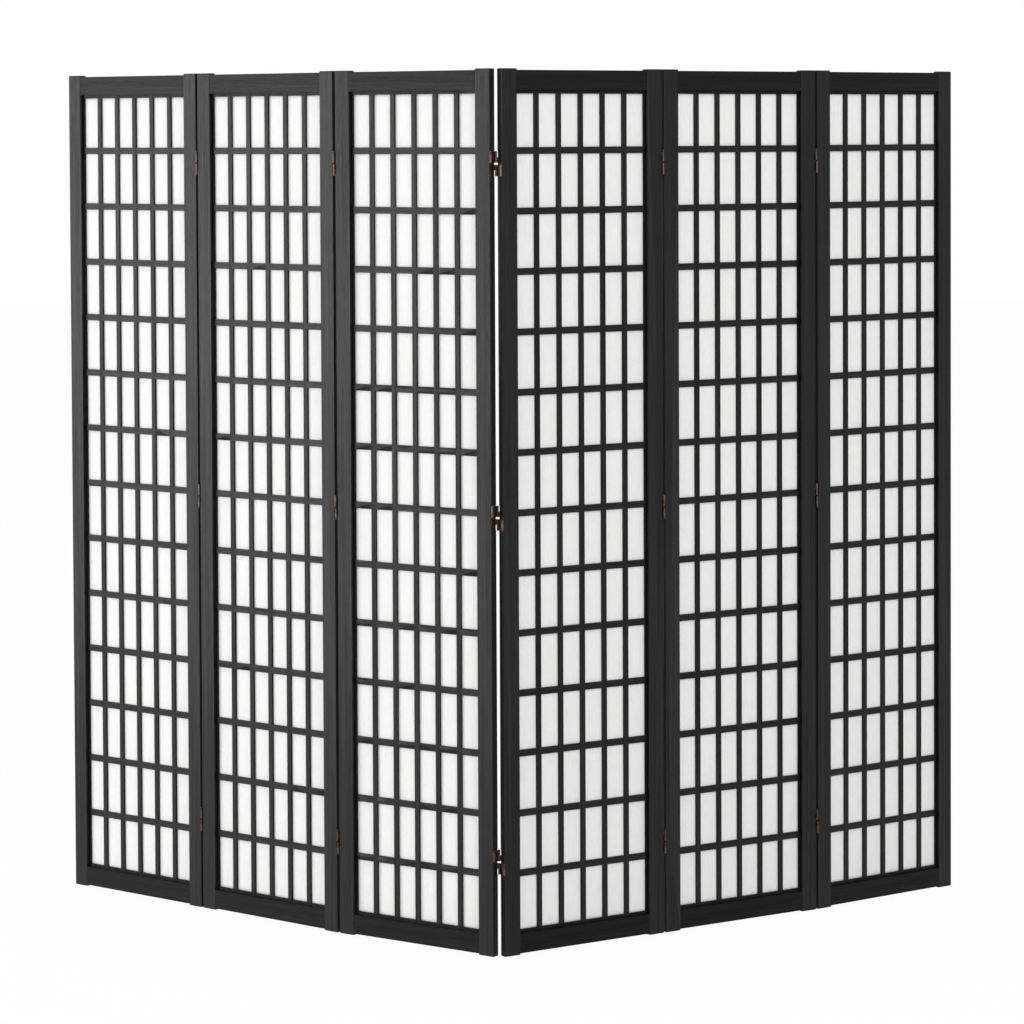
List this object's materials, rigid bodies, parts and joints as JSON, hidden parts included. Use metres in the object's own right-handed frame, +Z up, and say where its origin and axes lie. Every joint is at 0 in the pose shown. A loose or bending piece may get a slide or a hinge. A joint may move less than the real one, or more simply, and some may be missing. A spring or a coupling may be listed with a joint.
{
  "type": "shoji folding screen",
  "caption": "Freestanding folding screen of dark framed paper-and-lattice panels joined by two-way hinges, standing in a shallow V.",
  "frame": {"origin": "centre of the bounding box in plan, on the floor under the feet of the stiles", "axes": "+Z up; the lattice faces look towards -Y and the fold between the two wings points to -Y; +X to the right as seen from the front"},
  "size_m": [1.9234, 0.801, 1.78],
  "materials": {
    "frame_wood": "dark stain, satin",
    "lattice_wood": "dark stain, satin",
    "shoji_paper": "translucent fibre paper",
    "hinge_metal": "antique finish"
  },
  "bodies": {
    "panel_1": {"panel_1_stiles": "frame_wood", "panel_1_rails": "frame_wood", "panel_1_vertical_kumiko": "lattice_wood", "panel_1_horizontal_kumiko": "lattice_wood", "panel_1_edging": "lattice_wood", "panel_1_paper": "shoji_paper", "panel_1_back_beads": "frame_wood", "panel_1_hinge_leaves": "hinge_metal"},
    "panel_2": {"panel_2_stiles": "frame_wood", "panel_2_rails": "frame_wood", "panel_2_vertical_kumiko": "lattice_wood", "panel_2_horizontal_kumiko": "lattice_wood", "panel_2_edging": "lattice_wood", "panel_2_paper": "shoji_paper", "panel_2_back_beads": "frame_wood", "panel_2_hinge_leaves": "hinge_metal"},
    "panel_3": {"panel_3_stiles": "frame_wood", "panel_3_rails": "frame_wood", "panel_3_vertical_kumiko": "lattice_wood", "panel_3_horizontal_kumiko": "lattice_wood", "panel_3_edging": "lattice_wood", "panel_3_paper": "shoji_paper", "panel_3_back_beads": "frame_wood", "panel_3_hinge_leaves": "hinge_metal", "hinge_3_4_upper_links": "hinge_metal"},
    "panel_4": {"panel_4_stiles": "frame_wood", "panel_4_rails": "frame_wood", "panel_4_vertical_kumiko": "lattice_wood", "panel_4_horizontal_kumiko": "lattice_wood", "panel_4_edging": "lattice_wood", "panel_4_paper": "shoji_paper", "panel_4_back_beads": "frame_wood", "panel_4_hinge_leaves": "hinge_metal", "hinge_3_4_lower_links": "hinge_metal"},
    "panel_5": {"panel_5_stiles": "frame_wood", "panel_5_rails": "frame_wood", "panel_5_vertical_kumiko": "lattice_wood", "panel_5_horizontal_kumiko": "lattice_wood", "panel_5_edging": "lattice_wood", "panel_5_paper": "shoji_paper", "panel_5_back_beads": "frame_wood", "panel_5_hinge_leaves": "hinge_metal"},
    "panel_6": {"panel_6_stiles": "frame_wood", "panel_6_rails": "frame_wood", "panel_6_vertical_kumiko": "lattice_wood", "panel_6_horizontal_kumiko": "lattice_wood", "panel_6_edging": "lattice_wood", "panel_6_paper": "shoji_paper", "panel_6_back_beads": "frame_wood", "panel_6_hinge_leaves": "hinge_metal"},
    "hinge_2_3_upper": {"hinge_2_3_upper_links": "hinge_metal"},
    "hinge_2_3_lower": {"hinge_2_3_lower_links": "hinge_metal"},
    "hinge_1_2_upper": {"hinge_1_2_upper_links": "hinge_metal"},
    "hinge_1_2_lower": {"hinge_1_2_lower_links": "hinge_metal"},
    "hinge_4_5_upper": {"hinge_4_5_upper_links": "hinge_metal"},
    "hinge_4_5_lower": {"hinge_4_5_lower_links": "hinge_metal"},
    "hinge_5_6_upper": {"hinge_5_6_upper_links": "hinge_metal"},
    "hinge_5_6_lower": {"hinge_5_6_lower_links": "hinge_metal"}
  },
  "joints": [
    {"name": "back_fold_2_3", "type": "hinge", "parent": "panel_3", "child": "hinge_2_3_upper", "pos_m": [-0.34756, -0.13825, 0.89], "axis": [0, 0, 1], "range_deg": [-128.5, 4.5]},
    {"name": "front_fold_2_3", "type": "hinge", "parent": "hinge_2_3_upper", "child": "panel_2", "pos_m": [-0.35903, -0.15107, 0.89], "axis": [0, 0, 1], "range_deg": [0, 178]},
    {"name": "lower_link_2_3", "type": "hinge", "parent": "panel_2", "child": "hinge_2_3_lower", "pos_m": [-0.34756, -0.13825, 0.89], "axis": [0, 0, -1], "range_deg": [-128.5, 4.5]},
    {"name": "back_fold_1_2", "type": "hinge", "parent": "panel_2", "child": "hinge_1_2_upper", "pos_m": [-0.65023, 0.13236, 0.89], "axis": [0, 0, -1], "range_deg": [0, 178]},
    {"name": "front_fold_1_2", "type": "hinge", "parent": "hinge_1_2_upper", "child": "panel_1", "pos_m": [-0.66169, 0.11954, 0.89], "axis": [0, 0, -1], "range_deg": [-178, 0]},
    {"name": "lower_link_1_2", "type": "hinge", "parent": "panel_1", "child": "hinge_1_2_lower", "pos_m": [-0.65023, 0.13236, 0.89], "axis": [0, 0, 1], "range_deg": [0, 178]},
    {"name": "back_fold_3_4", "type": "hinge", "parent": "panel_3", "child": "panel_4", "pos_m": [-0.0246, -0.38428, 0.89], "axis": [0, 0, 1], "range_deg": [-72.5, 100.5]},
    {"name": "front_fold_4_5", "type": "hinge", "parent": "panel_4", "child": "hinge_4_5_upper", "pos_m": [0.31708, -0.16431, 0.89], "axis": [0, 0, -1], "range_deg": [0, 178]},
    {"name": "back_fold_4_5", "type": "hinge", "parent": "hinge_4_5_upper", "child": "panel_5", "pos_m": [0.30716, -0.15025, 0.89], "axis": [0, 0, -1], "range_deg": [-130, 0]},
    {"name": "lower_link_4_5", "type": "hinge", "parent": "panel_4", "child": "hinge_4_5_lower", "pos_m": [0.30716, -0.15025, 0.89], "axis": [0, 0, -1], "range_deg": [-130, 0]},
    {"name": "front_fold_5_6", "type": "hinge", "parent": "panel_5", "child": "hinge_5_6_upper", "pos_m": [0.64884, 0.06972, 0.89], "axis": [0, 0, 1], "range_deg": [-178, 0]},
    {"name": "back_fold_5_6", "type": "hinge", "parent": "hinge_5_6_upper", "child": "panel_6", "pos_m": [0.63892, 0.08378, 0.89], "axis": [0, 0, 1], "range_deg": [-4, 174]},
    {"name": "lower_link_5_6", "type": "hinge", "parent": "panel_5", "child": "hinge_5_6_lower", "pos_m": [0.63892, 0.08378, 0.89], "axis": [0, 0, 1], "range_deg": [-4, 174]}
  ],
  "couplings": [
    {"joint": "lower_link_2_3", "follows": "back_fold_2_3", "ratio": 1},
    {"joint": "lower_link_1_2", "follows": "back_fold_1_2", "ratio": 1},
    {"joint": "lower_link_4_5", "follows": "back_fold_4_5", "ratio": 1},
    {"joint": "lower_link_5_6", "follows": "back_fold_5_6", "ratio": 1}
  ]
}
